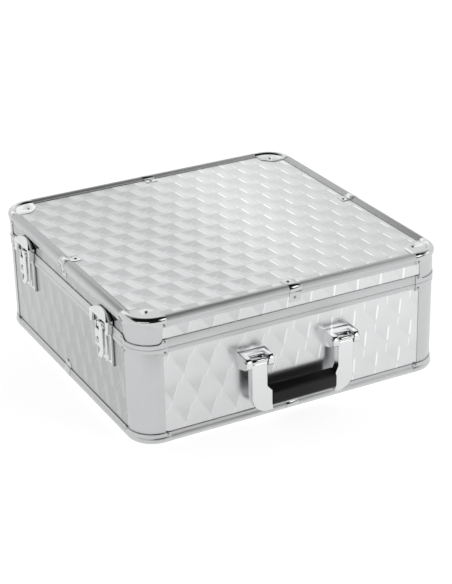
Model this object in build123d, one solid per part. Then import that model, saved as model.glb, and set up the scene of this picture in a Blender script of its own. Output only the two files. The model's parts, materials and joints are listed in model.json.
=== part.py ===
from build123d import *
from math import cos, radians, sin, sqrt
import os

# Square storage case for art supplies: a base and a hinged lid of thin boards, clad in metal skins and
# held by aluminium edging, with two key latches on the left, two hinges on the right and a carrying
# handle on the front.
# Millimetres. Origin at the centre of the footprint, on the plane the case stands on. The front is
# towards -Y, the latches are towards -X, and +Z is up.

# Whole case, measured over the round edging
case_width = 400.0
case_depth = 395.0
case_height = 155.0
corner_radius = 32.5
parting_height = 117.35
parting_gap = 0.3

# Wall layers, from the outside in
skin_thickness = 0.8
board_thickness = 5.0
lining_thickness = 2.5
wrap_thickness = 0.8
wrap_tail = 1.5

# Edging and caps
bead_radius = 5.5
panel_drop = 3.0
foot_flat = 0.4
flange_inset = 1.5
flange_thickness = 1.2
flange_height = 13.0
lip_thickness = 0.8
lip_reach = 12.5
cap_margin = 3.5
cap_inset = 0.9
cap_thickness = 1.0
cap_arch_height = 6.5
cap_arch_radius = 35.0
cap_ear_radius = 55.5
cap_ear_centre = 6.3
joiner_width = 15.0
joiner_thickness = 0.5
joiner_offset = -1.0
joiner_tongue = 22.5
joiner_drop = 21.0
bottom_joiner_offset = -6.0

# Rims along the parting line
rim_web = 1.2
base_rim_height = 5.8
lid_rim_height = 10.2
rim_leg_height = 9.2
groove_depth = 2.9
tongue_width = 2.0
tongue_height = 2.4
tongue_inset = 5.2
rim_corner_height = 5.2
base_rim_corner_height = 4.4
base_ear_height = 9.2
rim_corner_span = 23.0
window_rounding = 0.33

# Rivets
rivet_radius = 1.9
rivet_height = 0.9
rivet_shank = 1.3
rivet_length = 6.0
rivet_tail = 3.5
cap_rivet_drop = 10.4
panel_rivet_reach = 27.4
joiner_rivet_reach = 18.0
joiner_rivet_drop = 16.1
lid_rim_rivet_rise = 7.9
base_rim_rivet_drop = 5.4
bottom_rivet_height = 11.4
bottom_joiner_rivet_height = 20.5

# Handle
handle_centre = -1.6
bracket_pitch = 112.0
bracket_width = 35.0
bracket_top = 88.5
bracket_bottom = 68.0
bracket_reach = 23.0
bracket_recess = 10.0
bracket_ear = 7.2
bracket_edge = 0.8
bracket_top_slope = 1.2
nose_setback = 3.5
nose_top = 83.5
nose_bottom = 77.0
nose_underside = 74.0
pin_height = 82.0
pin_reach = 18.75
pin_radius = 1.6
pin_clearance = 0.06
pin_head_radius = 2.6
pin_head_thickness = 1.0
arm_gap = 0.6
arm_front = 21.5
arm_depth = 10.5
arm_bottom = 17.5
arm_corner = 19.5
arm_edge = 1.2
shoulder_bottom = 42.0
shoulder_top = 49.0
barrel_radius = 3.25
barrel_gap = 0.4
grip_gap = 4.8
grip_offset = 1.5
grip_bottom = 22.0
grip_front_top = 40.0
grip_back_top = 45.0
grip_bevel = 2.0
grip_under_bevel = 3.0
grip_swell = 3.0
grip_swell_height = 8.0
grip_edge = 1.4
core_height = 7.0
core_depth = 5.0
core_overlap = 1.0

# Latches
latch_pitch = 228.0
keeper_width = 46.0
keeper_height = 23.5
keeper_reach = 9.0
keeper_cheek = 3.0
keeper_roof = 8.0
keeper_roof_back = 3.0
keeper_brow = 0.5
keeper_web = 1.0
lug_thickness = 2.2
lug_cover = 1.2
lug_bottom_gap = 1.0
lug_top_cover = 3.0
hasp_width = 9.0
hasp_side_gap = 0.4
hasp_thickness = 1.5
hasp_front = 6.6
hasp_bottom = 81.0
hasp_lip_height = 6.0
hasp_lip_turn = 2.6
hasp_lip_end = 0.8
hasp_lip_back = 1.4
hasp_pin_height = 121.5
hasp_pin_reach = 5.2
hasp_pin_radius = 1.4
hasp_pin_tail = 0.2
hasp_barrel_radius = 2.4
latch_plate_width = 41.0
latch_plate_bottom = 76.0
latch_plate_thickness = 1.2
latch_rib_gap = 2.4
latch_rib_thickness = 1.2
latch_rib_root = 0.5
latch_rib_reach = 4.7
latch_rib_end = 2.0
latch_rib_top_gap = 1.0
latch_flange_reach = 3.5
lock_offset = 14.2
lock_width = 12.0
lock_bottom = 88.0
lock_height = 21.0
lock_reach = 5.4
lock_edge = 1.0
lock_floor = 1.0
lock_centre_height = 96.0
cylinder_radius = 3.8
cylinder_clearance = 0.05
cylinder_lift = 0.2
cylinder_proud = 0.4
keyhole_width = 1.2
keyhole_length = 4.8
keyhole_depth = 2.5

# Hinges
hinge_pitch = 228.0
hinge_width = 46.0
hinge_leaf_height = 24.0
hinge_leaf_thickness = 1.4
hinge_axis_reach = 3.5
hinge_knuckle_radius = 2.9
hinge_pin_radius = 1.5
hinge_clearance = 0.05
hinge_tab_gap = 1.2
knuckle_gap = 0.3
knuckle_count = 5

# Cutters that only have to pass right through a piece run this far
through = 60.0

# Heights and insets that follow from the sizes above
skin_inset = flange_inset + flange_thickness
board_inset = skin_inset + skin_thickness
inner_inset = board_inset + board_thickness
wrap_inset = skin_inset - wrap_thickness
leg_inset = inner_inset + rim_web
panel_top = case_height - panel_drop
base_top = parting_height - parting_gap / 2
lid_bottom = parting_height + parting_gap / 2
base_wall_top = base_top - rim_web
lid_wall_bottom = lid_bottom + groove_depth + rim_web
top_board_top = panel_top - skin_thickness
top_board_bottom = top_board_top - board_thickness
bottom_board_top = panel_drop + board_thickness
half_width = case_width / 2
half_depth = case_depth / 2
flange_reach = skin_inset - flange_inset
lining_bottom = lid_bottom + rim_leg_height + parting_gap
lining_top = base_top - rim_leg_height - parting_gap
hinge_x = half_width + hinge_axis_reach
wrap_reach = corner_radius + wrap_tail
rivet_reach = corner_radius + rivet_tail
cap_reach = rivet_reach + cap_margin
arm_width = bracket_width - 2 * (bracket_ear + arm_gap)
grip_length = bracket_pitch - arm_width - 2 * grip_gap

SIDES = {"front": (0, half_depth, half_width), "right": (90, half_width, half_depth),
         "rear": (180, half_depth, half_width), "left": (270, half_width, half_depth)}
CORNERS = [(1, -1), (1, 1), (-1, 1), (-1, -1)]


def box(x0, x1, y0, y1, z0, z1):
    """A block between two corners."""
    return Pos((x0 + x1) / 2, (y0 + y1) / 2, (z0 + z1) / 2) * Box(x1 - x0, y1 - y0, z1 - z0)


def band(u0, u1, v0, v1):
    """A rectangle of a wall section, from inset u0 to u1 and height v0 to v1."""
    return Pos((u0 + u1) / 2, (v0 + v1) / 2) * Rectangle(u1 - u0, v1 - v0)


def straight(section, side, start, end):
    """A wall section run along one side, between two places measured from the side's middle."""
    angle, distance, _ = SIDES[side]
    plane = Plane(origin=(start, -distance, 0), x_dir=(0, 1, 0), z_dir=(1, 0, 0))
    return Rot(0, 0, angle) * extrude(plane * section, amount=end - start, dir=(1, 0, 0))


def length(section, side, reach, middle=None):
    """A wall section along one side, stopping short of both corners, cut in two where it is joined."""
    half = SIDES[side][2] - reach
    if middle is None:
        return [straight(section, side, -half, half)]
    return [straight(section, side, -half, middle), straight(section, side, middle, half)]


def turned_corner(section, index, reach):
    """A wall section turned round one corner, with straight ends up to a reach from the corner."""
    plane = Plane(origin=(0, -corner_radius, 0), x_dir=(0, 1, 0), z_dir=(1, 0, 0))
    piece = revolve(plane * section, axis=Axis.Z, revolution_arc=90)
    tail = reach - corner_radius
    if tail > 0:
        end = extrude(plane * section, amount=tail, dir=(-1, 0, 0))
        other = Rot(0, 0, 90) * extrude(plane * section, amount=tail, dir=(1, 0, 0))
        piece = piece + end + other
    sx, sy = CORNERS[index]
    centre = Pos(sx * (half_width - corner_radius), sy * (half_depth - corner_radius), 0)
    return centre * Rot(0, 0, 90 * index) * piece


def corners(section, reach):
    """The four turned corners of one wall section."""
    return [turned_corner(section, index, reach) for index in range(4)]


def plan(inset):
    """The rounded outline of the case at an inset."""
    return RectangleRounded(case_width - 2 * inset, case_depth - 2 * inset, corner_radius - inset)


def slab(inset, bottom, top):
    """A plate with the case's outline."""
    return Pos(0, 0, bottom) * extrude(plan(inset), amount=top - bottom)


def flipped(section):
    """A section of the top edging turned over for the bottom."""
    return Pos(0, case_height) * mirror(section, about=Plane.XZ)


def diagonal(solid, index):
    """Places a cutter that lies along +Y so that it points out through a corner."""
    sx, sy = CORNERS[index]
    centre = Pos(sx * (half_width - corner_radius), sy * (half_depth - corner_radius), 0)
    return centre * Rot(0, 0, 90 * index - 45 - 90) * solid


def save(name, solids):
    """Writes one sub-part, as a single solid or as a group of solids."""
    parts = solids if isinstance(solids, list) else [solids]
    pieces = [solid for part in parts for solid in part.solids()]
    shape = pieces[0] if len(pieces) == 1 else Compound(children=pieces)
    shape.label = name
    export_step(shape, f"parts/{name}.step")


def drilled(solids, holes):
    """The solids with every hole that reaches them cut out."""
    result = []
    for solid in solids:
        reach = solid.bounding_box()
        for hole in holes:
            near = hole.bounding_box()
            apart = (near.min.X > reach.max.X or near.max.X < reach.min.X
                     or near.min.Y > reach.max.Y or near.max.Y < reach.min.Y
                     or near.min.Z > reach.max.Z or near.max.Z < reach.min.Z)
            if not apart:
                solid = solid - hole
        result.append(solid)
    return result


# Edging, caps and joiners -------------------------------------------------------------------------

def edging_section():
    """Round bead with a flange down the wall and a lip over the panel, at the top of the case."""
    bead = Pos(bead_radius, case_height - bead_radius) * Circle(bead_radius)
    flange = band(flange_inset, skin_inset, case_height - flange_height, case_height - bead_radius)
    lip = band(bead_radius, lip_reach, panel_top, panel_top + lip_thickness)
    inside = band(skin_inset, through, case_height / 2, panel_top)
    return bead + flange + lip - inside


def cap_section():
    """The edging's bead at a corner, with a flange that stands over the wall's corner wrap."""
    bead = Pos(bead_radius, case_height - bead_radius) * Circle(bead_radius)
    flange = band(cap_inset, cap_inset + cap_thickness, case_height - flange_height,
                  case_height - bead_radius)
    lip = band(bead_radius, lip_reach, panel_top, panel_top + lip_thickness)
    inside = band(wrap_inset, through, case_height / 2, panel_top)
    return bead + flange + lip - inside


def joiner_section(tongue):
    """A thin clip over the edging, with tongues on the wall and on the panel."""
    t = joiner_thickness
    top = case_height
    side_low = top - flange_height - t
    shell = Pos(bead_radius, top - bead_radius) * Circle(bead_radius + t)
    shell += band(flange_inset - t, flange_inset, side_low, top - bead_radius)
    shell += band(flange_inset - t, skin_inset, side_low, side_low + t)
    shell += band(skin_inset - t, skin_inset, top - joiner_drop, side_low + t)
    if tongue:
        shell += band(bead_radius, lip_reach + t, panel_top, panel_top + lip_thickness + t)
        shell += band(lip_reach, joiner_tongue, panel_top, panel_top + t)
    filled = Pos(bead_radius, top - bead_radius) * Circle(bead_radius)
    filled += band(flange_inset, skin_inset, top - flange_height, top - bead_radius)
    filled += band(bead_radius, lip_reach, panel_top, panel_top + lip_thickness)
    filled += band(skin_inset, through, case_height / 2, panel_top)
    return shell - filled


def edging_lengths(section, side, offset):
    """The two lengths of edging along a side, which meet under a joiner."""
    return length(section, side, cap_reach, offset)


def cap(section, index):
    """One corner cap of the top edging: the flange arches up between its two ears."""
    piece = turned_corner(section, index, cap_reach)
    top_arch = case_height - cap_arch_height
    arch = Pos(0, 0, top_arch - cap_arch_radius) * Rot(90, 0, 0)
    bar = arch * Pos(0, 0, -corner_radius) * Cylinder(cap_arch_radius, 2 * corner_radius)
    return piece - diagonal(bar, index)


def panel_ear(index):
    """The lens-shaped ear of a corner cap that lies on the lid's panel."""
    sx, sy = CORNERS[index]
    centre = Pos(sx * (half_width + cap_ear_centre), sy * (half_depth + cap_ear_centre))
    x0, x1 = sorted((sx * half_width, sx * (half_width - cap_reach)))
    y0, y1 = sorted((sy * half_depth, sy * (half_depth - cap_reach)))
    window = Pos((x0 + x1) / 2, (y0 + y1) / 2) * Rectangle(x1 - x0, y1 - y0)
    outline = plan(lip_reach - lip_thickness) & (centre * Circle(cap_ear_radius)) & window
    return Pos(0, 0, panel_top) * extrude(outline, amount=lip_thickness)


def bottom_bead(solids):
    """Cuts the flat that the case stands on."""
    floor = box(-case_width, case_width, -case_depth, case_depth, -case_height, 0)
    return [solid - floor for solid in solids]


def lowered(section):
    """The bottom edging's section, sunk by the depth of its standing flat."""
    return Pos(0, -foot_flat) * flipped(section)


# Rims along the parting line ----------------------------------------------------------------------

def base_rim_section(tongued):
    """Channel over the base wall, with a locating tongue."""
    section = band(flange_inset, skin_inset, base_top - base_rim_height, base_top)
    section += band(flange_inset, leg_inset, base_wall_top, base_top)
    section += band(inner_inset, leg_inset, base_top - rim_leg_height, base_top)
    if tongued:
        section += band(tongue_inset, tongue_inset + tongue_width, base_wall_top, base_top + tongue_height)
    return section


def lid_rim_section(outer, inner, height):
    """Channel under the lid wall, with the groove that takes the tongue."""
    section = band(outer, inner, lid_bottom, lid_bottom + height)
    section += band(outer, skin_inset + rim_web, lid_bottom, lid_wall_bottom)
    section += band(outer, leg_inset, lid_wall_bottom - rim_web, lid_wall_bottom)
    section += band(inner_inset, leg_inset, lid_bottom, lid_bottom + rim_leg_height)
    return section


def base_rim_corner_section():
    """Corner piece of the base rim, standing over the corner wrap."""
    section = band(cap_inset, wrap_inset, base_top - base_ear_height, base_top)
    section += band(cap_inset, leg_inset, base_wall_top, base_top)
    section += band(inner_inset, leg_inset, base_top - rim_leg_height, base_top)
    return section


def rim_window(low, high, index):
    """Cutter that leaves ears at both ends of a rim corner: a bar with rounded edges."""
    bar = Box(2 * rim_corner_span, 2 * corner_radius, high - low)
    bar = fillet(bar.edges().filter_by(Axis.Y), radius=(high - low) * window_rounding)
    return diagonal(Pos(0, corner_radius, (low + high) / 2) * bar, index)


def corner_layer(index):
    """The outer layer of a corner, in front of the wall's wraps, from floor to top."""
    layer = band(cap_inset - cap_thickness, wrap_inset, 0, case_height)
    return turned_corner(layer, index, cap_reach)


# Handle, on the front wall ------------------------------------------------------------------------

def front_y(reach):
    """Y of a point that stands a reach out from the front skin."""
    return -(half_depth - skin_inset) - reach


def side_profile(points):
    """An outline in the plane across the front wall, from (reach, height) points."""
    flat = [(front_y(reach), height) for reach, height in points]
    return make_face(Polyline([(0, y, z) for y, z in flat], close=True))


def handle_bracket(centre):
    """Bracket with two ears that hold the handle's pin."""
    shoulder = bracket_reach - nose_setback
    whole = side_profile([(0, bracket_bottom), (shoulder, nose_underside), (bracket_reach, nose_bottom),
                          (bracket_reach, nose_top), (shoulder, bracket_top - bracket_top_slope),
                          (0, bracket_top)])
    body = extrude(whole, amount=bracket_width / 2, dir=(1, 0, 0), both=True)
    body = chamfer(body.edges().filter_by(Axis.Z).group_by(Axis.Y)[0], length=bracket_edge)
    half_slot = bracket_width / 2 - bracket_ear
    slot = box(-half_slot, half_slot, front_y(through), front_y(bracket_recess), 0, case_height)
    seat = Pos(0, front_y(pin_reach), pin_height) * Rot(0, 90, 0)
    hole = seat * Cylinder(pin_radius, 2 * bracket_width)
    return Pos(centre, 0, 0) * (body - slot - hole)


def handle_pin(centre):
    """Pin through a bracket, with a head at each end."""
    seat = Pos(centre, front_y(pin_reach), pin_height) * Rot(0, 90, 0)
    body = seat * Cylinder(pin_radius, bracket_width)
    head = (bracket_width + pin_head_thickness) / 2
    for sign in (-1, 1):
        body += seat * Pos(0, 0, sign * head) * Cylinder(pin_head_radius, pin_head_thickness)
    return body


def handle_arm(sign):
    """One arm of the handle: a flat upright with a barrel at the top and a foot that enters the grip."""
    outer = sign * (bracket_pitch + arm_width) / 2
    inner = sign * (bracket_pitch - arm_width) / 2
    foot = grip_offset + sign * grip_length / 2
    bend = arm_corner * (1 - sqrt(0.5))
    top = pin_height - barrel_radius / 2
    outline = [
        Line((outer, top), (outer, arm_bottom + arm_corner)),
        ThreePointArc((outer, arm_bottom + arm_corner), (outer - sign * bend, arm_bottom + bend),
                      (outer - sign * arm_corner, arm_bottom)),
        Line((outer - sign * arm_corner, arm_bottom), (foot, arm_bottom)),
        Line((foot, arm_bottom), (foot, shoulder_bottom)),
        Line((foot, shoulder_bottom), (inner, shoulder_top)),
        Line((inner, shoulder_top), (inner, top)),
        Line((inner, top), (outer, top)),
    ]
    back = front_y(arm_front - arm_depth)
    plate = Plane(origin=(0, back, 0), x_dir=(1, 0, 0), z_dir=(0, -1, 0)) * make_face(Wire(outline))
    arm = extrude(plate, amount=arm_depth, dir=(0, -1, 0))
    arm = chamfer(arm.edges().group_by(Axis.Y)[0], length=arm_edge)
    seat = Pos(sign * bracket_pitch / 2, front_y(pin_reach), pin_height) * Rot(0, 90, 0)
    arm += seat * Cylinder(barrel_radius, arm_width - 2 * barrel_gap)
    return arm - seat * Cylinder(pin_radius + pin_clearance, 2 * arm_width)


def grip_core():
    """Flat bar through the grip that joins the two arms."""
    centre = arm_front - arm_depth / 2
    middle = (grip_bottom + grip_front_top) / 2
    half = grip_length / 2 + core_overlap
    return box(grip_offset - half, grip_offset + half, front_y(centre + core_depth / 2),
               front_y(centre - core_depth / 2), middle - core_height / 2, middle + core_height / 2)


def handle_grip(core):
    """Moulded grip: a flat face outward and a top that slopes up towards the wall."""
    back = arm_front - arm_depth
    profile = side_profile([(arm_front - grip_bevel, grip_bottom),
                            (arm_front, grip_bottom + grip_under_bevel),
                            (arm_front, grip_front_top - grip_bevel),
                            (arm_front - grip_bevel, grip_front_top),
                            (back + grip_bevel / 2, grip_back_top),
                            (back - grip_bevel, grip_back_top - grip_bevel),
                            (back - grip_swell, grip_bottom + grip_swell_height),
                            (back + grip_bevel / 2, grip_bottom)])
    body = extrude(profile, amount=grip_length / 2, dir=(1, 0, 0), both=True)
    body = fillet(body.edges().filter_by(Axis.X), radius=grip_edge)
    return Pos(grip_offset, 0, 0) * body - core


# Latches, on the left wall ------------------------------------------------------------------------

def left_x(reach):
    """X of a point that stands a reach out from the left skin."""
    return -(half_width - skin_inset) - reach


def latch_box(y0, y1, reach0, reach1, z0, z1):
    """A block on the left wall, between two reaches out from the skin."""
    return box(left_x(reach1), left_x(reach0), y0, y1, z0, z1)


def keeper(centre):
    """Hood on the lid: two cheeks and a sloping roof over the hasp's pin, with an arched top."""
    low = lid_bottom + parting_gap
    high = low + keeper_height
    half = keeper_width / 2
    arch = (half ** 2 + keeper_roof ** 2) / (2 * keeper_roof)
    outline = Pos(0, (low + high) / 2) * Rectangle(keeper_width, high - low)
    outline &= Pos(0, high - arch) * Circle(arch)
    plane = Plane(origin=(left_x(flange_reach), centre, 0), x_dir=(0, 1, 0), z_dir=(1, 0, 0))
    body = extrude(plane * outline, amount=keeper_reach - flange_reach, dir=(-1, 0, 0))
    front = high - keeper_roof + keeper_web
    roof = make_face(Polyline([(left_x(0), 0, high), (left_x(keeper_roof_back), 0, high + keeper_web),
                               (left_x(keeper_reach), 0, front), (left_x(keeper_reach), 0, low),
                               (left_x(0), 0, low)], close=True))
    body &= Pos(0, centre, 0) * extrude(roof, amount=keeper_width, dir=(0, 1, 0), both=True)
    inner = half - keeper_cheek
    body -= latch_box(centre - inner, centre + inner, flange_reach + keeper_web, through,
                      low - keeper_cheek, front - 2 * keeper_web - keeper_brow)
    near = hasp_width / 2 + hasp_side_gap
    for sign in (-1, 1):
        y0, y1 = sorted((centre + sign * near, centre + sign * (near + lug_thickness)))
        body += latch_box(y0, y1, flange_reach + keeper_web / 2, hasp_pin_reach + lug_cover,
                          low + lug_bottom_gap, hasp_pin_height + lug_top_cover)
    seat = Pos(left_x(hasp_pin_reach), centre, hasp_pin_height) * Rot(90, 0, 0)
    return body - seat * Cylinder(hasp_pin_radius, 2 * (near + lug_thickness + hasp_pin_tail))


def hasp_pin(centre):
    """Pin on which a latch's hasp swings."""
    seat = Pos(left_x(hasp_pin_reach), centre, hasp_pin_height) * Rot(90, 0, 0)
    half = hasp_width / 2 + hasp_side_gap + lug_thickness + hasp_pin_tail
    return seat * Cylinder(hasp_pin_radius, 2 * half)


def hasp(centre):
    """Sprung strip that swings down over the parting line, with a turned-out finger end."""
    half = hasp_width / 2
    back = hasp_front - hasp_thickness
    bend = hasp_bottom + hasp_lip_height
    strip = latch_box(centre - half, centre + half, back, hasp_front, bend, hasp_pin_height)
    lip = make_face(Polyline([(left_x(back), 0, bend + hasp_side_gap),
                              (left_x(hasp_front), 0, bend + hasp_side_gap),
                              (left_x(hasp_front + hasp_lip_turn), 0, hasp_bottom + hasp_lip_end),
                              (left_x(hasp_front + hasp_lip_back), 0, hasp_bottom)], close=True))
    strip += Pos(0, centre, 0) * extrude(lip, amount=half, dir=(0, 1, 0), both=True)
    seat = Pos(left_x(hasp_pin_reach), centre, hasp_pin_height) * Rot(90, 0, 0)
    strip += seat * Cylinder(hasp_barrel_radius, hasp_width)
    return strip - seat * Cylinder(hasp_pin_radius + pin_clearance, 2 * hasp_width)


def latch_plate(centre):
    """Plate on the base with two ribs beside the hasp and a raised box for the lock."""
    top = base_top - parting_gap
    low = latch_plate_bottom
    half = latch_plate_width / 2
    rim_low = base_top - base_rim_height
    plate = latch_box(centre - half, centre + half, 0, latch_plate_thickness, low, rim_low)
    plate += latch_box(centre - half, centre + half, flange_reach, flange_reach + latch_plate_thickness,
                       rim_low - latch_plate_thickness, top)
    inner = hasp_width / 2 + latch_rib_gap
    for sign in (-1, 1):
        y0, y1 = sorted((centre + sign * inner, centre + sign * (inner + latch_rib_thickness)))
        plate += latch_box(y0, y1, latch_rib_root, latch_rib_reach, low + latch_rib_end,
                           top - latch_rib_top_gap)
        y0, y1 = sorted((centre + sign * half, centre + sign * (half - latch_rib_thickness)))
        plate += latch_box(y0, y1, latch_rib_root, latch_flange_reach, low, top)
    lock = centre + lock_offset
    raised = latch_box(lock - lock_width / 2, lock + lock_width / 2, latch_rib_root, lock_reach,
                       lock_bottom, lock_bottom + lock_height)
    plate += chamfer(raised.edges().group_by(Axis.X)[0], length=lock_edge)
    plate -= latch_box(centre - half, centre + half, 0, flange_reach, rim_low, top)
    bore = Pos(left_x(lock_floor + lock_reach / 2), lock, lock_centre_height) * Rot(0, 90, 0)
    return plate - bore * Cylinder(cylinder_radius + cylinder_clearance, lock_reach)


def lock_cylinder(centre):
    """Turning barrel of a lock, with the slot for its key."""
    lock = centre + lock_offset
    start = lock_floor + cylinder_lift
    end = lock_reach + cylinder_proud
    middle = Pos(left_x((start + end) / 2), lock, lock_centre_height) * Rot(0, 90, 0)
    body = middle * Cylinder(cylinder_radius, end - start)
    half = keyhole_width / 2
    return body - latch_box(lock - half, lock + half, end - keyhole_depth, end + keyhole_depth,
                            lock_centre_height - keyhole_length / 2,
                            lock_centre_height + keyhole_length / 2)


# Hinges, on the right wall ------------------------------------------------------------------------

def hinge_leaf(centre, upper):
    """One leaf of a hinge, with its share of the knuckles."""
    side = 1 if upper else -1
    wall_x = half_width - flange_inset
    half = hinge_width / 2
    clear = hinge_knuckle_radius + knuckle_gap
    z0, z1 = sorted((parting_height + side * parting_gap, parting_height + side * hinge_leaf_height))
    leaf = box(wall_x, wall_x + hinge_leaf_thickness, centre - half, centre + half, z0, z1)
    tab = sorted((parting_height + side * hinge_tab_gap,
                  parting_height + side * (hinge_tab_gap + hinge_leaf_thickness)))
    knuckle = hinge_width / knuckle_count
    held = (knuckle - knuckle_gap) / 2
    for step in range(knuckle_count):
        middle = centre - half + (step + 0.5) * knuckle
        if (step % 2 == 1) == upper:
            seat = Pos(hinge_x, middle, parting_height) * Rot(90, 0, 0)
            leaf += seat * Cylinder(hinge_knuckle_radius, 2 * held)
            leaf += box(wall_x, hinge_x, middle - held, middle + held, *tab)
        else:
            leaf -= box(hinge_x - clear, hinge_x + clear, middle - knuckle / 2, middle + knuckle / 2,
                        parting_height - clear, parting_height + clear)
    hole = hinge_pin_radius + (hinge_clearance if upper else 0)
    seat = Pos(hinge_x, centre, parting_height) * Rot(90, 0, 0)
    return leaf - seat * Cylinder(hole, 2 * hinge_width)


def hinge_pin(centre):
    """Pin through a hinge's knuckles."""
    return Pos(hinge_x, centre, parting_height) * Rot(90, 0, 0) * Cylinder(hinge_pin_radius, hinge_width)


# Rivets -------------------------------------------------------------------------------------------

def rivet_at(point, outward):
    """A domed head on a surface, with its shank into the wall."""
    sphere = (rivet_radius ** 2 + rivet_height ** 2) / (2 * rivet_height)
    dome = Pos(0, 0, rivet_height - sphere) * Sphere(sphere)
    head = dome & Pos(0, 0, rivet_height / 2) * Cylinder(rivet_radius, rivet_height)
    shank = Pos(0, 0, -rivet_length / 2) * Cylinder(rivet_shank, rivet_length)
    place = Plane(origin=point, z_dir=outward)
    return place * (head + shank), place * shank


def side_point(side, along, inset, height):
    """A point on one side wall and the direction out of it."""
    angle, distance, _ = SIDES[side]
    turn = radians(angle)
    x, y = along, -(distance - inset)
    point = (x * cos(turn) - y * sin(turn), x * sin(turn) + y * cos(turn), height)
    return point, (sin(turn), -cos(turn), 0)


def wall_rivets(height, inset):
    """Rivets at both ends of all four sides, at one height."""
    spots = []
    for side, (_, _, half) in SIDES.items():
        for sign in (-1, 1):
            spots.append(side_point(side, sign * (half - rivet_reach), inset, height))
    return spots


def joiner_rivets(height, offset):
    """One rivet through the tongue of each joiner on the side walls."""
    return [side_point(side, offset, skin_inset - joiner_thickness, height) for side in SIDES]


def lid_rivet_spots():
    """Every rivet in the lid."""
    spots = wall_rivets(case_height - cap_rivet_drop, cap_inset)
    spots += wall_rivets(lid_bottom + lid_rim_rivet_rise, cap_inset)
    spots += joiner_rivets(case_height - joiner_rivet_drop, joiner_offset)
    up = (0, 0, 1)
    for sx, sy in CORNERS:
        spots.append(((sx * (half_width - panel_rivet_reach), sy * (half_depth - panel_rivet_reach),
                       panel_top + lip_thickness), up))
    for side in SIDES:
        (x, y, z), _ = side_point(side, joiner_offset, joiner_rivet_reach, panel_top + joiner_thickness)
        spots.append(((x, y, z), up))
    return spots


def base_rivet_spots():
    """Every rivet in the base."""
    spots = wall_rivets(base_top - base_rim_rivet_drop, cap_inset)
    spots += wall_rivets(bottom_rivet_height, cap_inset)
    spots += joiner_rivets(bottom_joiner_rivet_height, bottom_joiner_offset)
    return spots


# Assembly -----------------------------------------------------------------------------------------

def build_lid():
    """Writes every piece of the lid."""
    made = [rivet_at(point, outward) for point, outward in lid_rivet_spots()]
    holes = [shank for _, shank in made]
    save("lid_rivets", [rivet for rivet, _ in made])

    wall_board = band(board_inset, inner_inset, lid_wall_bottom, top_board_bottom)
    wall_skin = band(skin_inset, board_inset, lid_wall_bottom, top_board_top)
    for side in SIDES:
        save(f"lid_{side}_board", drilled(length(wall_board, side, corner_radius), holes))
        save(f"lid_{side}_skin", drilled(length(wall_skin, side, corner_radius), holes))
        save(f"lid_edging_{side}", drilled(edging_lengths(edging_section(), side, joiner_offset), holes))
    save("lid_top_board", drilled([slab(board_inset, top_board_bottom, top_board_top)], holes))
    save("lid_top_skin", drilled([slab(skin_inset, top_board_top, panel_top)], holes))
    post = band(skin_inset, inner_inset, lid_wall_bottom, top_board_bottom)
    save("lid_corner_posts", corners(post, corner_radius))
    wrap = band(wrap_inset, skin_inset, lid_wall_bottom, panel_top)
    save("lid_corner_wraps", corners(wrap, wrap_reach))
    caps = [cap(cap_section(), index) + panel_ear(index) for index in range(4)]
    save("lid_corner_caps", drilled(caps, holes))
    half = joiner_width / 2
    joiners = [straight(joiner_section(True), side, joiner_offset - half, joiner_offset + half)
               for side in SIDES]
    save("lid_edging_joiners", drilled(joiners, holes))
    rims = [piece for side in SIDES
            for piece in length(lid_rim_section(flange_inset, skin_inset, lid_rim_height), side, cap_reach)]
    save("lid_rim_lengths", rims)
    rim_corners = corners(lid_rim_section(cap_inset, wrap_inset, lid_rim_height), cap_reach)
    low, high = lid_bottom + rim_corner_height, lid_bottom + 2 * lid_rim_height
    window = [rim_window(low, high, index) & corner_layer(index) for index in range(4)]
    rim_corners = [piece - window[index] for index, piece in enumerate(rim_corners)]
    save("lid_rim_corners", drilled(rim_corners, holes))
    lining = slab(inner_inset, lining_bottom, top_board_bottom)
    lining -= slab(inner_inset + lining_thickness, lid_bottom, top_board_bottom - lining_thickness)
    save("lid_lining", lining)


def build_base():
    """Writes every piece of the base."""
    made = [rivet_at(point, outward) for point, outward in base_rivet_spots()]
    holes = [shank for _, shank in made]
    save("base_rivets", [rivet for rivet, _ in made])

    wall_board = band(board_inset, inner_inset, bottom_board_top, base_wall_top)
    wall_skin = band(skin_inset, board_inset, panel_drop, base_wall_top)
    for side in SIDES:
        save(f"base_{side}_board", drilled(length(wall_board, side, corner_radius), holes))
        save(f"base_{side}_skin", drilled(length(wall_skin, side, corner_radius), holes))
    save("base_bottom_board", drilled([slab(board_inset, panel_drop, bottom_board_top)], holes))
    post = band(skin_inset, inner_inset, bottom_board_top, base_wall_top)
    save("base_corner_posts", corners(post, corner_radius))
    wrap = band(wrap_inset, skin_inset, panel_drop, base_wall_top)
    save("base_corner_wraps", corners(wrap, wrap_reach))

    edging = lowered(edging_section())
    lengths = [piece for side in SIDES for piece in edging_lengths(edging, side, bottom_joiner_offset)]
    save("bottom_edging_lengths", bottom_bead(lengths))
    caps = bottom_bead(corners(lowered(cap_section()), cap_reach))
    save("bottom_corner_caps", drilled(caps, holes))
    half = joiner_width / 2
    joiner = lowered(joiner_section(False)) - band(-bead_radius, through, -case_height, bead_radius / 2)
    joiners = [straight(joiner, side, bottom_joiner_offset - half, bottom_joiner_offset + half)
               for side in SIDES]
    save("bottom_edging_joiners", drilled(joiners, holes))

    rims = []
    for side in SIDES:
        rims += length(base_rim_section(side != "right"), side, cap_reach)
    save("base_rim_lengths", rims)
    rim_corners = corners(base_rim_corner_section(), cap_reach)
    low, high = base_top - 2 * base_ear_height, base_top - base_rim_corner_height
    window = [rim_window(low, high, index) & corner_layer(index) for index in range(4)]
    rim_corners = [piece - window[index] for index, piece in enumerate(rim_corners)]
    save("base_rim_corners", drilled(rim_corners, holes))
    lining = slab(inner_inset, bottom_board_top, lining_top)
    lining -= slab(inner_inset + lining_thickness, bottom_board_top + lining_thickness, case_height)
    save("base_lining", lining)


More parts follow.
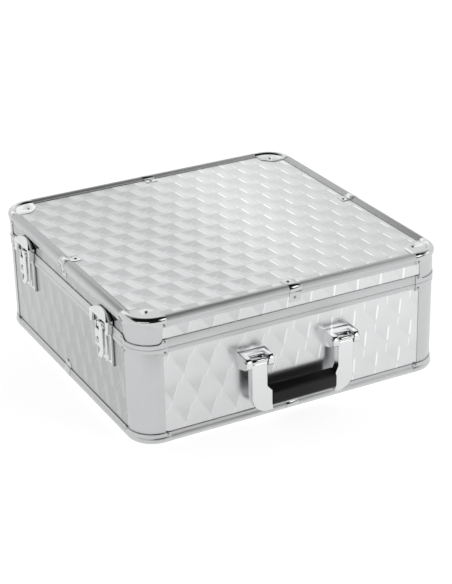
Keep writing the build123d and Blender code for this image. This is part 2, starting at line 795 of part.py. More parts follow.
def build_handle():
    """Writes the brackets, pins, frame and grip of the handle."""
    left = handle_centre - bracket_pitch / 2
    right = handle_centre + bracket_pitch / 2
    save("handle_bracket_left", handle_bracket(left))
    save("handle_bracket_right", handle_bracket(right))
    save("handle_pins", [handle_pin(left), handle_pin(right)])
    core = grip_core()
    frame = handle_arm(-1) + handle_arm(1) + core
    save("handle_frame", Pos(handle_centre, 0, 0) * frame)
    save("handle_grip", Pos(handle_centre, 0, 0) * handle_grip(core))


def build_latches():
    """Writes both latches: plate and lock on the base, keeper and hasp on the lid."""
    for name, centre in (("front", -latch_pitch / 2), ("rear", latch_pitch / 2)):
        save(f"{name}_latch_keeper", keeper(centre))
        save(f"{name}_latch_hasp", hasp(centre))
        save(f"{name}_latch_plate", latch_plate(centre))
        save(f"{name}_lock_cylinder", lock_cylinder(centre))
    save("latch_hasp_pins", [hasp_pin(centre) for centre in (-latch_pitch / 2, latch_pitch / 2)])


def build_hinges():
    """Writes the leaves and pins of both hinges."""
    centres = (-hinge_pitch / 2, hinge_pitch / 2)
    save("hinge_base_leaves", [hinge_leaf(centre, False) for centre in centres])
    save("hinge_lid_leaves", [hinge_leaf(centre, True) for centre in centres])
    save("hinge_pins", [hinge_pin(centre) for centre in centres])


os.makedirs("parts", exist_ok=True)
build_lid()
build_base()
build_handle()
build_latches()
build_hinges()
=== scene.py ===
import json
import logging
import math
from dataclasses import dataclass, field
from enum import Enum

import bmesh
import bpy
from mathutils import Matrix, Vector


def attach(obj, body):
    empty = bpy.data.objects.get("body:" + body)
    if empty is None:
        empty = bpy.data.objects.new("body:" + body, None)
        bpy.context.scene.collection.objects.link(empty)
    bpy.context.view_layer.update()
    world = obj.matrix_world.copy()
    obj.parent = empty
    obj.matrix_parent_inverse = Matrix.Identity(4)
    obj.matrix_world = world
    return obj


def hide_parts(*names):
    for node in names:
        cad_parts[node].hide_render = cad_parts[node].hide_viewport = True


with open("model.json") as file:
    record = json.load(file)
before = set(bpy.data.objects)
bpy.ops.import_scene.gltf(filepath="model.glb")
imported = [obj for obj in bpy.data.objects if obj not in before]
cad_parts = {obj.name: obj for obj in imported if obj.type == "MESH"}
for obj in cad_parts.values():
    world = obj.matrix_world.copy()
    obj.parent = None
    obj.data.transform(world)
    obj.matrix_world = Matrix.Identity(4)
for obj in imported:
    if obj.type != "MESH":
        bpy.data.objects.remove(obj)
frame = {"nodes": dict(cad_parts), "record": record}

log = logging.getLogger("art_supply_box")
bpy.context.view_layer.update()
Colour = tuple[float, float, float]
Point = tuple[float, float, float]
Pair = tuple[float, float]

WELD_DISTANCE = 2e-6
FLAT_TURN = 0.4
SMOOTH_TURN = 34.0
EDGE_SAMPLES = 4
HOLLOW_SAMPLES = 8


# Shader building -----------------------------------------------------------------------------------

class Socket:
    """One output of a shader node. Arithmetic on it adds Math nodes."""

    def __init__(self, graph: "Graph", output: bpy.types.NodeSocket) -> None:
        """Keeps the graph and the output that later nodes link to."""
        self.graph = graph
        self.output = output

    def math(self, operation: str, *others: "Socket | float") -> "Socket":
        """Adds one Math node whose first value is this socket."""
        values = dict(enumerate((self,) + others))
        return self.graph.node("ShaderNodeMath", {"operation": operation}, values)

    def __add__(self, other: "Socket | float") -> "Socket":
        """This value plus another."""
        return self.math("ADD", other)

    def __sub__(self, other: "Socket | float") -> "Socket":
        """This value less another."""
        return self.math("SUBTRACT", other)

    def __mul__(self, other: "Socket | float") -> "Socket":
        """This value times another."""
        return self.math("MULTIPLY", other)

    def __truediv__(self, other: "Socket | float") -> "Socket":
        """This value over another."""
        return self.math("DIVIDE", other)

    def __rsub__(self, other: float) -> "Socket":
        """A number less this value."""
        return self.graph.node("ShaderNodeMath", {"operation": "SUBTRACT"}, {0: other, 1: self})

    __radd__ = __add__
    __rmul__ = __mul__

    def clamp(self) -> "Socket":
        """This value held between 0 and 1."""
        return self.math("MINIMUM", 1.0).math("MAXIMUM", 0.0)

    def above(self, low: float, high: float) -> "Socket":
        """A smooth step from 0 at low to 1 at high."""
        values = {"Value": self, "From Min": low, "From Max": high}
        return self.graph.node("ShaderNodeMapRange", {"interpolation_type": "SMOOTHSTEP"}, values)

    def between(self, start: float, end: float) -> "Socket":
        """A value that runs from start to end while this one runs from 0 to 1."""
        return self * (end - start) + start

    def about_zero(self, width: float) -> "Socket":
        """A value from 0 to 1 moved to lie about zero, with a full width."""
        return (self - 0.5) * width


class Graph:
    """The nodes of one material or world."""

    def __init__(self, owner: bpy.types.Material | bpy.types.World) -> None:
        """Starts the owner's node tree empty."""
        owner.use_nodes = True
        self.owner = owner
        self.tree = owner.node_tree
        self.tree.nodes.clear()

    def add(self, kind: str, settings: dict | None = None, values: dict | None = None) -> bpy.types.Node:
        """Adds a node.

        Args:
            kind: The node's type name.
            settings: The node's own settings, and "stops" for a ramp.
            values: Numbers, colours or sockets for its inputs, by name or place.

        Returns:
            The new node.
        """
        made = self.tree.nodes.new(kind)
        for key, value in (settings or {}).items():
            if key == "stops":
                self.set_stops(made.color_ramp, value)
            else:
                setattr(made, key, value)
        for key, value in (values or {}).items():
            if isinstance(value, Socket):
                self.tree.links.new(value.output, made.inputs[key])
            else:
                made.inputs[key].default_value = value
        return made

    def node(self, kind: str, settings: dict | None = None, values: dict | None = None,
             output: int | str = 0) -> Socket:
        """Adds a node and gives one of its outputs, by name or place."""
        return Socket(self, self.add(kind, settings, values).outputs[output])

    @staticmethod
    def set_stops(ramp: bpy.types.ColorRamp, stops: tuple[Pair, ...]) -> None:
        """Gives a ramp its stops, each a place and a grey level."""
        while len(ramp.elements) < len(stops):
            ramp.elements.new(1.0)
        for element, (place, level) in zip(ramp.elements, stops):
            element.position = place
            element.color = (level, level, level, 1.0)

    def place(self) -> Socket:
        """Object coordinates, in metres."""
        return self.node("ShaderNodeTexCoord", output="Object")

    def axes(self) -> tuple[Socket, Socket, Socket]:
        """Object coordinates as three numbers."""
        split = self.add("ShaderNodeSeparateXYZ", values={0: self.place()})
        return tuple(Socket(self, output) for output in split.outputs)

    def noise(self, scale: float, detail: float = 3.0, stretch: Point = (1, 1, 1)) -> Socket:
        """Noise over object coordinates, from 0 to 1.

        Args:
            scale: Cells per metre.
            detail: How many finer layers it has.
            stretch: Scale of each axis before the noise.

        Returns:
            The noise value.
        """
        moved = self.node("ShaderNodeVectorMath", {"operation": "MULTIPLY"}, {0: self.place(), 1: stretch})
        return self.node("ShaderNodeTexNoise", values={"Vector": moved, "Scale": scale, "Detail": detail})

    def mix(self, share: "Socket | float", first: "Colour | Socket", second: "Colour | Socket") -> Socket:
        """Mixes two colours by a share from 0 to 1."""
        values = {"Factor": share, 6: self.filled(first), 7: self.filled(second)}
        return self.node("ShaderNodeMix", {"data_type": "RGBA"}, values, output=2)

    @staticmethod
    def filled(colour: "Colour | Socket") -> "tuple | Socket":
        """A colour with its fourth value, or a socket as it is."""
        return colour if isinstance(colour, Socket) else (*colour, 1.0)

    def bump(self, height: Socket, depth: float, strength: float = 1.0) -> Socket:
        """Turns a height from 0 to 1 into a normal, with a depth in metres."""
        values = {"Height": height, "Distance": depth, "Strength": strength}
        return self.node("ShaderNodeBump", values=values)

    def edges(self, radius: float = 0.0006, limits: Pair = (0.01, 0.12)) -> Socket:
        """A mask that is 1 on the outer edges of a shape, from the bevelled normal."""
        soft = self.node("ShaderNodeBevel", {"samples": EDGE_SAMPLES}, {"Radius": radius})
        plain = self.node("ShaderNodeNewGeometry", output="Normal")
        same = self.node("ShaderNodeVectorMath", {"operation": "DOT_PRODUCT"}, {0: soft, 1: plain}, "Value")
        return (1.0 - same).above(*limits)

    def hollows(self, reach: float, limits: Pair = (0.35, 0.80)) -> Socket:
        """A mask that is 1 deep in hollows and 0 on open faces."""
        open_sky = self.node("ShaderNodeAmbientOcclusion", {"samples": HOLLOW_SAMPLES},
                             {"Distance": reach}, "AO")
        return 1.0 - open_sky.above(*limits)

    def close(self, values: dict) -> bpy.types.Material:
        """Ends the material in a Principled shader with these values."""
        shader = self.node("ShaderNodeBsdfPrincipled", values=values, output="BSDF")
        self.add("ShaderNodeOutputMaterial", values={"Surface": shader})
        return self.owner


def material_graph(name: str) -> Graph:
    """Starts a new material."""
    return Graph(bpy.data.materials.new(name))


# Finishes ------------------------------------------------------------------------------------------

class Wall(Enum):
    """The plane that a swirled sheet lies in."""

    TOP = "top"
    FRONT = "front"
    SIDE = "side"


@dataclass(frozen=True)
class Ray:
    """A thin painted highlight line that crosses a row of discs.

    Attributes:
        width: Its reach to either side, in pitches.
        start: The depth in the row where it starts, from 0 to 1.
        end: The depth where it begins to fade.
        strength: Its brightness at the left and right of the sheet.
        fade_in: How much depth it takes to appear.
        fade_out: How much depth it takes to fade.
    """

    width: float
    start: float
    end: float
    strength: Pair
    fade_in: float = 0.12
    fade_out: float = 0.2

    def drawn(self, offset: Socket, depth: Socket, share: Socket) -> Socket:
        """Draws the line.

        Args:
            offset: A place along the row, in pitches from 0 to 1. The line is at the whole numbers.
            depth: The place across the row, from 0 to 1.
            share: 0 at the left of the sheet and 1 at the right.

        Returns:
            The line's brightness.
        """
        near = 1.0 - (0.5 - (offset - 0.5).math("ABSOLUTE")).above(0.0, self.width)
        shown = near * depth.above(self.start, self.start + self.fade_in)
        shown = shown * (1.0 - depth.above(self.end, self.end + self.fade_out))
        return shown * share.between(*self.strength)


@dataclass(frozen=True)
class SheetLook:
    """How the swirl lies on one sheet.

    Attributes:
        name: The material's name.
        wall: The plane the sheet lies in.
        phase: Where one disc's centre is, in metres along the row and across the rows.
        lean: How far the painted glint leans along the row for each row it crosses, at the left and right.
        wedge: The painted shade wedge's width at the centre and how much it grows across a row, in pitches.
        fan: Strength of the painted light fan and of the painted highlight streak beyond it.
        level: Painted light level of the plain sheet, at the left and right.
        crisp: Strength of the painted glints, against a sheet that faces the light.
    """

    name: str
    wall: Wall
    phase: Pair
    lean: Pair
    wedge: Pair
    fan: float
    level: Pair
    crisp: float = 1.0


@dataclass(frozen=True)
class SwirlFinish:
    """Bright sheet with overlapping discs brushed into it, in staggered rows.

    The light that the discs catch is painted into the colour: from the centre of each disc a thin painted
    glint runs out, with a painted light fan at one side of it and a painted shade wedge at the other. The
    painted glints are crisper towards the right of the sheet. Each pair of strengths is at the left and
    right of the sheet, and each pair of limits is where a step begins and ends.
    """

    pitch: float = 0.0311
    row_pitch: float = 0.0308
    dark: Colour = (0.42, 0.424, 0.428)
    light: Colour = (0.96, 0.965, 0.97)
    roughness: float = 0.24
    side_limits: Pair = (-0.09, 0.09)
    wander_scale: float = 9.0
    wander: float = 0.08
    glint: Ray = Ray(0.055, 0.06, 0.58, (0.14, 0.60))
    answer: Ray = Ray(0.045, 0.58, 0.86, (0.14, 0.32))
    streak: Ray = Ray(0.05, 0.14, 0.44, (0.20, 0.08))
    fan_start: Pair = (0.0, 0.02)
    fan_end: Pair = (0.26, 0.40)
    fan_depth: Pair = (0.6, 1.0)
    fan_fade: Pair = (1.0, 0.3)
    fan_light: Pair = (0.12, 0.07)
    wedge_edge: Pair = (-0.04, 0.06)
    wedge_depth: Pair = (0.35, 0.95)
    wedge_strength: Pair = (1.0, 0.4)
    wedge_shade: float = 0.13
    grain_scale: float = 2600.0
    grain_tone: float = 0.06
    cloud_scale: float = 40.0
    cloud_tone: float = 0.10
    wedge_rough: float = 0.04
    glint_smooth: float = 0.06
    grain_rough: float = 0.04
    fan_rise: float = 0.4
    wedge_drop: float = 0.4
    glint_rise: float = 0.3
    relief: float = 0.0002
    relief_strength: float = 0.3

    def material(self, look: SheetLook) -> bpy.types.Material:
        """Builds the material of one sheet.

        Args:
            look: How the swirl lies on it.

        Returns:
            The material.
        """
        g = material_graph(look.name)
        x, y, z = g.axes()
        along, across = {Wall.TOP: (x, y), Wall.FRONT: (x, z), Wall.SIDE: (y, z)}[look.wall]
        wander = g.noise(self.wander_scale, detail=1.0).about_zero(self.wander)
        share = along.above(*self.side_limits)
        slope = share.between(*look.lean)
        facing = -1.0 if look.wall is Wall.TOP else 1.0
        rows = (across - look.phase[1]) * (facing / self.row_pitch) + wander
        row = rows.math("FLOOR")
        depth = rows - row
        stagger = row.math("FLOORED_MODULO", 2.0) * 0.5
        place = (along - look.phase[0]) / self.pitch + wander
        ahead = (place - stagger - slope * depth).math("FRACT")
        back = (place + stagger + 0.5 + slope * (1.0 - depth)).math("FRACT")
        beyond = (ahead + (slope + 1.0) * depth).math("FRACT")

        glint = self.glint.drawn(ahead, depth, share) * look.crisp
        answer = self.answer.drawn(back, depth, share) * look.crisp
        streak = self.streak.drawn(beyond, depth, share)
        fan = (1.0 - ahead.above(*self.fan_end)) * depth.above(*self.fan_depth).between(*self.fan_fade)
        fan = fan * ahead.above(*self.fan_start)
        wedge = (ahead - (1.0 - look.wedge[0] - depth * look.wedge[1])).above(*self.wedge_edge)
        wedge = wedge * (1.0 - depth.above(*self.wedge_depth)) * share.between(*self.wedge_strength)
        grain = g.noise(self.grain_scale, detail=2.0)
        cloud = g.noise(self.cloud_scale, detail=2.0)

        # Painted light and shade: the sheet's painted light level, the painted glints, fan and streak, less
        # the painted shade wedge. Cloud and grain are the metal's own variation.
        light = fan * share.between(*self.fan_light) + streak
        tone = share.between(*look.level) + glint + answer + light * look.fan - wedge * self.wedge_shade
        tone = tone + cloud.about_zero(self.cloud_tone) + grain.about_zero(self.grain_tone)
        base = g.mix(tone.clamp(), self.dark, self.light)
        rough = self.roughness + wedge * self.wedge_rough - glint * self.glint_smooth
        rough = rough + grain.about_zero(self.grain_rough)
        height = fan * look.fan * self.fan_rise - wedge * self.wedge_drop + glint * self.glint_rise
        normal = g.bump(height, self.relief, self.relief_strength)
        return g.close({"Base Color": base, "Metallic": 1.0, "Roughness": rough, "Normal": normal})


@dataclass(frozen=True)
class MetalFinish:
    """A bare or plated metal with faint variation, worn edges, fine scratches and painted shade in its
    hollows where that is set.

    Attributes:
        name: The material's name.
        colour: Its clean colour.
        roughness: Its mean roughness.
        brushed: Stretch of the fine scratches along each axis.
        scratch: How much the scratches change the roughness.
        mottle: How much broad patches change the roughness.
        relief: Depth of the scratches, in metres.
        hollow_shade: Strength of the painted shade that darkens hollows.
        reach: Width of a hollow that gets painted shade, in metres.
    """

    name: str
    colour: Colour
    roughness: float
    brushed: Point = (1.0, 1.0, 1.0)
    scratch: float = 0.03
    mottle: float = 0.06
    relief: float = 0.00001
    hollow_shade: float = 0.0
    reach: float = 0.004
    broad_scale: float = 28.0
    fine_scale: float = 900.0
    shaded: float = 0.86
    worn_light: float = 0.3
    worn_rough: float = 0.04
    smoothest: float = 0.02
    relief_strength: float = 0.6
    # Colour of the painted shade in hollows.
    hollow_shade_colour: Colour = (0.012, 0.012, 0.012)

    def material(self) -> bpy.types.Material:
        """Builds the metal's material, with painted shade in its hollows where any is set."""
        g = material_graph(self.name)
        broad = g.noise(self.broad_scale, detail=4.0)
        fine = g.noise(self.fine_scale, detail=3.0, stretch=self.brushed)
        worn = g.edges()
        shade = tuple(channel * self.shaded for channel in self.colour)
        tone = (broad * 0.5 + fine * 0.5 + worn * self.worn_light).clamp()
        base = g.mix(tone, shade, self.colour)
        # Painted shade: the colour is darkened deep in hollows.
        if self.hollow_shade > 0:
            base = g.mix(g.hollows(self.reach) * self.hollow_shade, base, self.hollow_shade_colour)
        rough = self.roughness + fine.about_zero(self.scratch) + broad.about_zero(self.mottle)
        rough = (rough + worn * self.worn_rough).math("MAXIMUM", self.smoothest)
        normal = g.bump(fine, self.relief, self.relief_strength)
        return g.close({"Base Color": base, "Metallic": 1.0, "Roughness": rough, "Normal": normal})


@dataclass(frozen=True)
class MouldedFinish:
    """Moulded plastic with a fine pebbled grain and polished edges."""

    name: str
    colour: Colour
    roughness: float = 0.42
    pebble_scale: float = 1100.0
    cloud_scale: float = 40.0
    worn_radius: float = 0.001
    lift: float = 1.8
    lift_floor: float = 0.004
    change: float = 0.1
    relief: float = 0.00004
    relief_strength: float = 0.5
    specular: float = 0.25

    def material(self) -> bpy.types.Material:
        """Builds the plastic's material."""
        g = material_graph(self.name)
        pebble = g.node("ShaderNodeTexVoronoi", values={"Vector": g.place(), "Scale": self.pebble_scale},
                        output="Distance")
        cloud = g.noise(self.cloud_scale, detail=3.0)
        worn = g.edges(self.worn_radius)
        pale = tuple(channel * self.lift + self.lift_floor for channel in self.colour)
        base = g.mix((cloud * 0.5 + worn * 0.5).clamp(), self.colour, pale)
        rough = self.roughness + cloud.about_zero(self.change) - worn * self.change
        normal = g.bump(pebble, self.relief, self.relief_strength)
        return g.close({"Base Color": base, "Roughness": rough, "Normal": normal,
                        "Specular IOR Level": self.specular})


@dataclass(frozen=True)
class BoardFinish:
    """Raw plywood, with grain along the sheet and darker pores."""

    name: str = "raw_board"
    early_wood: Colour = (0.46, 0.31, 0.17)
    late_wood: Colour = (0.68, 0.52, 0.33)
    pore: Colour = (0.22, 0.13, 0.07)
    grain_scale: float = 60.0
    grain_stretch: Point = (0.15, 1.0, 1.0)
    pore_scale: float = 1400.0
    pore_stretch: Point = (0.05, 1.0, 1.0)
    pore_limits: Pair = (0.58, 0.7)
    pore_share: float = 0.5
    pore_depth: float = 0.3
    pore_rough: float = 0.2
    roughness: float = 0.62
    relief: float = 0.00008
    relief_strength: float = 0.6

    def material(self) -> bpy.types.Material:
        """Builds the wood's material."""
        g = material_graph(self.name)
        grain = g.noise(self.grain_scale, detail=6.0, stretch=self.grain_stretch)
        pores = g.noise(self.pore_scale, detail=2.0, stretch=self.pore_stretch).above(*self.pore_limits)
        base = g.mix(grain, self.early_wood, self.late_wood)
        base = g.mix(pores * self.pore_share, base, self.pore)
        normal = g.bump(grain - pores * self.pore_depth, self.relief, self.relief_strength)
        return g.close({"Base Color": base, "Roughness": self.roughness + pores * self.pore_rough,
                        "Normal": normal})


@dataclass(frozen=True)
class FlockFinish:
    """Short black flocking, with brushed patches."""

    name: str = "black_flock"
    dark: Colour = (0.012, 0.012, 0.014)
    pale: Colour = (0.055, 0.055, 0.060)
    pile_scale: float = 2400.0
    pile_share: float = 0.6
    patch_scale: float = 30.0
    patch_limits: Pair = (0.35, 0.7)
    patch_share: float = 0.4
    roughness: float = 0.9
    change: float = 0.1
    relief: float = 0.0003
    relief_strength: float = 0.8
    sheen: float = 0.4
    sheen_roughness: float = 0.5

    def material(self) -> bpy.types.Material:
        """Builds the flocking's material."""
        g = material_graph(self.name)
        pile = g.noise(self.pile_scale, detail=2.0)
        patch = g.noise(self.patch_scale, detail=3.0).above(*self.patch_limits)
        tone = (pile * self.pile_share + patch * self.patch_share).clamp()
        base = g.mix(tone, self.dark, self.pale)
        normal = g.bump(pile, self.relief, self.relief_strength)
        rough = self.roughness + pile.about_zero(self.change)
        return g.close({"Base Color": base, "Roughness": rough, "Normal": normal,
                        "Sheen Weight": self.sheen, "Sheen Roughness": self.sheen_roughness})


# Mesh helpers --------------------------------------------------------------------------------------

def finished(name: str, mesh: bmesh.types.BMesh, material: bpy.types.Material, body: str) -> bpy.types.Object:
    """Turns a bmesh into a piece that rides on a body.

    Args:
        name: The piece's name.
        mesh: Its shape, in place. It is freed.
        material: Its material.
        body: The CAD body that it moves with.

    Returns:
        The new object.
    """
    data = bpy.data.meshes.new(name)
    mesh.to_mesh(data)
    mesh.free()
    data.materials.append(material)
    piece = bpy.data.objects.new(name, data)
    bpy.context.scene.collection.objects.link(piece)
    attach(piece, body)
    log.info("made %s: %d faces", name, len(data.polygons))
    return piece


def smooth_by_angle(mesh: bmesh.types.BMesh, degrees: float) -> None:
    """Shades a mesh smooth, and marks the edges that turn by more than an angle as sharp."""
    limit = math.radians(degrees)
    for face in mesh.faces:
        face.smooth = True
    for edge in mesh.edges:
        turn = edge.calc_face_angle(math.pi) if len(edge.link_faces) == 2 else math.pi
        edge.smooth = turn < limit


def rounded(mesh: bmesh.types.BMesh, width: float, sharp: float) -> None:
    """Rounds a shape's sharp edges, and keeps it inside the box it had before.

    Args:
        mesh: The shape.
        width: Width of the rounded edges, in metres.
        sharp: Edges that turn by more than this, in degrees, are rounded.
    """
    limit = math.radians(sharp)
    corners = [e for e in mesh.edges if len(e.link_faces) == 2 and e.calc_face_angle(0.0) > limit]
    lows, highs = ([pick(vert.co[axis] for vert in mesh.verts) for axis in range(3)]
                   for pick in (min, max))
    bmesh.ops.bevel(mesh, geom=corners, offset=width, segments=2, profile=0.5, affect="EDGES",
                    clamp_overlap=True, material=-1)
    for vert in mesh.verts:
        vert.co = [min(max(place, low), high) for place, low, high in zip(vert.co, lows, highs)]


def refined(node: str, material: bpy.types.Material, edge: float = 0.0,
            sharp: float = 28.0) -> None:
    """Replaces a CAD node with a welded, smooth-shaded copy whose sharp edges are rounded.

    Args:
        node: The CAD node.
        material: The copy's material.
        edge: Width of the rounded edges, in metres. None are rounded at 0.
        sharp: Edges that turn by more than this, in degrees, are rounded.
    """
    mesh = bmesh.new()
    mesh.from_mesh(frame["nodes"][node].data)
    bmesh.ops.remove_doubles(mesh, verts=mesh.verts, dist=WELD_DISTANCE)
    bmesh.ops.dissolve_limit(mesh, angle_limit=math.radians(FLAT_TURN), verts=mesh.verts,
                             edges=mesh.edges)
    if edge > 0:
        rounded(mesh, edge, sharp)
    smooth_by_angle(mesh, SMOOTH_TURN)
    body = next(name for name, nodes in frame["record"]["behaviour"]["bodies"].items() if node in nodes)
    piece = finished(f"{node}_finished", mesh, material, body)
    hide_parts(node)


def dressed(node: str, material: bpy.types.Material) -> None:
    """Gives a CAD node that stays as it is its material."""
    slots = frame["nodes"][node].material_slots
    if not slots:
        frame["nodes"][node].data.materials.append(material)
    for place in slots:
        place.material = material


# The case ------------------------------------------------------------------------------------------

@dataclass
class Finishes:
    """Every finish on the case, built once."""

    swirl: SwirlFinish = field(default_factory=SwirlFinish)
    chrome_colour: Colour = (0.78, 0.785, 0.79)

    def __post_init__(self) -> None:
        """Builds the shared materials."""
        self.build_sheets()
        self.build_metals()
        self.plastic = MouldedFinish("black_grip", (0.0045, 0.0045, 0.005)).material()
        self.board = BoardFinish().material()
        self.flock = FlockFinish().material()

    def build_sheets(self) -> None:
        """Builds the swirled sheet of each wall."""
        # Each wall has its own copy of the swirl with its own painted light level: the side sheet is painted
        # darkest and every sheet is painted lighter towards its right.
        self.top = self.swirl.material(SheetLook(
            name="swirl_top", wall=Wall.TOP, phase=(-0.1617, -0.0842), lean=(0.20, 0.07),
            wedge=(0.64, -0.35), fan=1.0, level=(0.08, 0.36)))
        self.front = self.swirl.material(SheetLook(
            name="swirl_front", wall=Wall.FRONT, phase=(-0.1408, 0.0808), lean=(0.38, 0.10),
            wedge=(0.0, 0.98), fan=0.15, level=(0.42, 0.52)))
        self.lid_front = self.swirl.material(SheetLook(
            name="swirl_lid_front", wall=Wall.FRONT, phase=(0.0810, 0.1235), lean=(0.30, 0.08),
            wedge=(0.0, 0.98), fan=0.15, level=(0.42, 0.52)))
        self.side = self.swirl.material(SheetLook(
            name="swirl_side", wall=Wall.SIDE, phase=(-0.0060, 0.0470), lean=(0.20, 0.20),
            wedge=(0.30, 0.10), fan=0.9, level=(0.0, 0.04), crisp=0.3))

    def build_metals(self) -> None:
        """Builds the plain and plated metals."""
        plated = {"scratch": 0.02, "mottle": 0.03, "relief": 0.000003}
        self.wrap = MetalFinish("satin_sheet", (0.60, 0.605, 0.61), 0.30, brushed=(1, 1, 0.05)).material()
        self.edging = MetalFinish("bright_edging", (0.71, 0.715, 0.72), 0.60, mottle=0.04).material()
        self.chrome = MetalFinish("polished_chrome", self.chrome_colour, 0.05, **plated).material()
        # The latch metal is painted darker in its hollows, as painted shade.
        self.latch = MetalFinish("latch_chrome", self.chrome_colour, 0.07, hollow_shade=0.95, **plated).material()
        self.cap = MetalFinish("capping_chrome", (0.62, 0.625, 0.63), 0.10, **plated).material()
        # The rivet metal is painted darker in its hollows, as painted shade.
        self.rivet = MetalFinish("nickel_rivet", (0.40, 0.405, 0.41), 0.16, hollow_shade=0.9,
                                 reach=0.0012).material()
        self.lock = MetalFinish("turned_steel", (0.62, 0.62, 0.64), 0.2).material()


@dataclass
class Shell:
    """The boards, skins, wraps, rims and edging of the base and the lid."""

    finishes: Finishes
    wrap_edge: float = 0.0002
    edging_edge: float = 0.00025

    def build(self) -> None:
        """Dresses the flat sheets and refines every formed piece."""
        for node in frame["nodes"]:
            if node.endswith("_board") or node.endswith("_posts"):
                dressed(node, self.finishes.board)
            elif node.endswith("_lining"):
                dressed(node, self.finishes.flock)
            elif node.endswith("_skin"):
                dressed(node, self.skin_material(node))
            elif node.endswith("_wraps") or node.endswith("_rim_corners"):
                refined(node, self.finishes.wrap, self.wrap_edge)
            elif node == "bottom_corner_caps":
                refined(node, self.finishes.wrap, self.edging_edge)
            elif node.endswith("_joiners") or node == "lid_corner_caps":
                refined(node, self.finishes.cap, self.edging_edge)
            elif "edging" in node or node.endswith("_rim_lengths"):
                refined(node, self.finishes.edging, self.edging_edge)
            elif node.endswith("_rivets"):
                refined(node, self.finishes.rivet)

    def skin_material(self, node: str) -> bpy.types.Material:
        """The swirled sheet for one skin."""
        if "top" in node:
            return self.finishes.top
        if node == "lid_front_skin":
            return self.finishes.lid_front
        if "front" in node or "rear" in node:
            return self.finishes.front
        return self.finishes.side


@dataclass
class Handle:
    """The carrying handle with its brackets and pins."""

    finishes: Finishes
    edge: float = 0.0006
    grip_sharp: float = 20.0

    def build(self) -> None:
        """Refines the brackets, frame, pins and grip."""
        for node in ("handle_bracket_left", "handle_bracket_right", "handle_frame", "handle_pins"):
            refined(node, self.finishes.chrome, self.edge)
        refined("handle_grip", self.finishes.plastic, self.edge, self.grip_sharp)


@dataclass
class Latches:
    """The two key latches."""

    finishes: Finishes
    edge: float = 0.0003

    def build(self) -> None:
        """Refines both latches' keepers, hasps, plates, pins and locks."""
        for name in ("front", "rear"):
            for part in ("keeper", "hasp", "plate"):
                refined(f"{name}_latch_{part}", self.finishes.latch, self.edge)
            refined(f"{name}_lock_cylinder", self.finishes.lock, self.edge)
        refined("latch_hasp_pins", self.finishes.latch)


@dataclass
class Hinges:
    """The two hinges on the right wall."""

    finishes: Finishes
    edge: float = 0.0003

    def build(self) -> None:
        """Refines the leaves and the pins."""
        refined("hinge_base_leaves", self.finishes.chrome, self.edge)
        refined("hinge_lid_leaves", self.finishes.chrome, self.edge)
        refined("hinge_pins", self.finishes.rivet)


# The studio ----------------------------------------------------------------------------------------

@dataclass(frozen=True)
class Softbox:
    """One rectangular light aimed at the case.

    Attributes:
        name: The light's name.
        place: Its centre, in metres.
        size: Its width and height, in metres.
        power: Its power in watts.
        aim: The point it faces, in metres.
    """

    name: str
    place: Point
    size: Pair
    power: float
    aim: Point = (0.0, 0.0, 0.08)

    def build(self) -> None:
        """Adds the light to the scene."""
        data = bpy.data.lights.new(self.name, "AREA")
        data.shape = "RECTANGLE"
        data.size, data.size_y = self.size
        data.energy = self.power
        light = bpy.data.objects.new(self.name, data)
        light.location = self.place
        facing = Vector(self.aim) - Vector(self.place)
        light.rotation_euler = facing.to_track_quat("-Z", "Y").to_euler()
        bpy.context.scene.collection.objects.link(light)


@dataclass(frozen=True)
class Camera:
    """The camera, placed by its bearing from a target. Angles are in degrees and lengths in metres."""

    azimuth: float = -27.49
    elevation: float = 25.16
    roll: float = -1.26
    distance: float = 2.04364
    target: Point = (0.01394, 0.0, 0.06277)
    lens: float = 101.991575
    sensor: float = 36.0
    nearest: float = 0.05
    farthest: float = 60.0

    def build(self) -> None:
        """Adds the camera on its bearing, with its small roll."""
        az, el, roll = (math.radians(v) for v in (self.azimuth, self.elevation, self.roll))
        back = Vector((math.sin(az) * math.cos(el), -math.cos(az) * math.cos(el), math.sin(el)))
        right = Vector((0, 0, 1)).cross(back).normalized()
        up = back.cross(right)
        turned_right = right * math.cos(roll) + up * math.sin(roll)
        turned_up = up * math.cos(roll) - right * math.sin(roll)
        data = bpy.data.cameras.new("camera")
        data.sensor_width = self.sensor
        data.lens = self.lens
        data.clip_start = self.nearest
        data.clip_end = self.farthest
        camera = bpy.data.objects.new("camera", data)
        turn = Matrix((turned_right, turned_up, back)).transposed().to_4x4()
        camera.matrix_world = Matrix.Translation(Vector(self.target) + back * self.distance) @ turn
        bpy.context.scene.collection.objects.link(camera)
        bpy.context.scene.camera = camera


@dataclass(frozen=True)
class Floor:
    """A wide pale floor that glows a little, so that it meets its surroundings without a line."""

    reach: float = 14.0
    cloud_scale: float = 0.6
    dark: Colour = (0.54, 0.54, 0.54)
    pale: Colour = (0.58, 0.58, 0.58)
    roughness: float = 0.9
    glow: float = 0.82

    def build(self) -> None:
        """Adds the floor to the stage."""
        mesh = bmesh.new()
        bmesh.ops.create_grid(mesh, x_segments=1, y_segments=1, size=self.reach)
        data = bpy.data.meshes.new("studio_floor")
        mesh.to_mesh(data)
        mesh.free()
        g = material_graph("pale_floor")
        base = g.mix(g.noise(self.cloud_scale, detail=2.0), self.dark, self.pale)
        data.materials.append(g.close({"Base Color": base, "Roughness": self.roughness,
                                       "Emission Color": (1, 1, 1, 1), "Emission Strength": self.glow}))
        floor = bpy.data.objects.new("studio_floor", data)
        bpy.context.scene.collection.objects.link(floor)


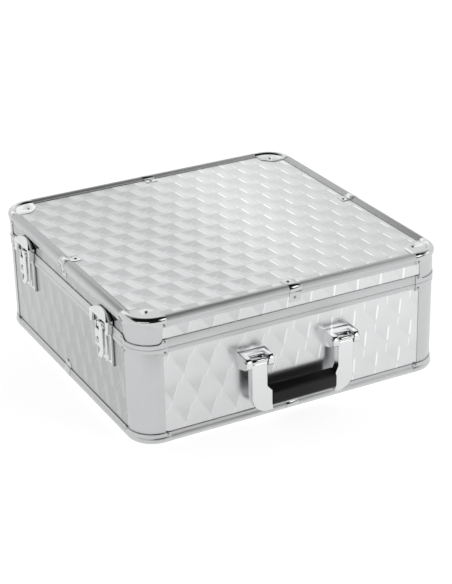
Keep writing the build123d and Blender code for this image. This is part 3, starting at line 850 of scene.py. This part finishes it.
@dataclass(frozen=True)
class Surroundings:
    """Bright round the horizon and grey overhead, with a dark patch above the front of the case.

    Attributes:
        by_height: Grey levels by height, from the horizon at 0 to overhead at 1.
        patch_axis: The direction of the dark patch's middle.
        by_nearness: Grey levels by nearness to that direction.
    """

    by_height: tuple[Pair, ...] = ((0.0, 0.90), (0.50, 1.10), (0.72, 0.42), (1.0, 0.50))
    patch_axis: Point = (-0.15, -0.55, 0.82)
    by_nearness: tuple[Pair, ...] = ((0.0, 1.0), (0.42, 1.0), (0.56, 0.02), (1.0, 0.02))

    def build(self) -> None:
        """Makes them the scene's world."""
        world = bpy.data.worlds.new("studio_surroundings")
        g = Graph(world)
        place = g.node("ShaderNodeTexCoord", output="Generated")
        height = g.node("ShaderNodeSeparateXYZ", values={0: place}, output=2)
        nearness = g.node("ShaderNodeVectorMath", {"operation": "DOT_PRODUCT"},
                          {0: place, 1: self.patch_axis}, "Value")
        sky = g.node("ShaderNodeValToRGB", {"stops": self.by_height}, {0: height})
        patch = g.node("ShaderNodeValToRGB", {"stops": self.by_nearness}, {0: nearness})
        joined = g.node("ShaderNodeVectorMath", {"operation": "MULTIPLY"}, {0: sky, 1: patch})
        back = g.node("ShaderNodeBackground", values={"Color": joined})
        g.add("ShaderNodeOutputWorld", values={"Surface": back})
        bpy.context.scene.world = world


@dataclass(frozen=True)
class Studio:
    """The camera, the floor, the surroundings and the lights."""

    softboxes: tuple[Softbox, ...] = (
        Softbox("key_softbox", (0.9, -1.6, 1.3), (0.9, 0.9), 5.0),
        Softbox("window_softbox", (-1.65, -1.6, 0.80), (1.7, 0.5), 4.0),
        Softbox("right_softbox", (2.4, -1.2, 1.6), (1.6, 1.2), 4.0),
        Softbox("rear_softbox", (0.3, 2.6, 1.9), (2.6, 1.2), 4.0))

    def build(self) -> None:
        """Builds the whole studio."""
        Camera().build()
        Floor().build()
        Surroundings().build()
        for softbox in self.softboxes:
            softbox.build()
        bpy.context.scene.view_settings.view_transform = "Standard"


def main() -> None:
    """Builds the case and the studio, in order."""
    logging.basicConfig(level=logging.INFO, format="%(name)s: %(message)s")
    Studio().build()
    finishes = Finishes()
    Shell(finishes).build()
    Handle(finishes).build()
    Latches(finishes).build()
    Hinges(finishes).build()


if __name__ == "__main__":
    main()
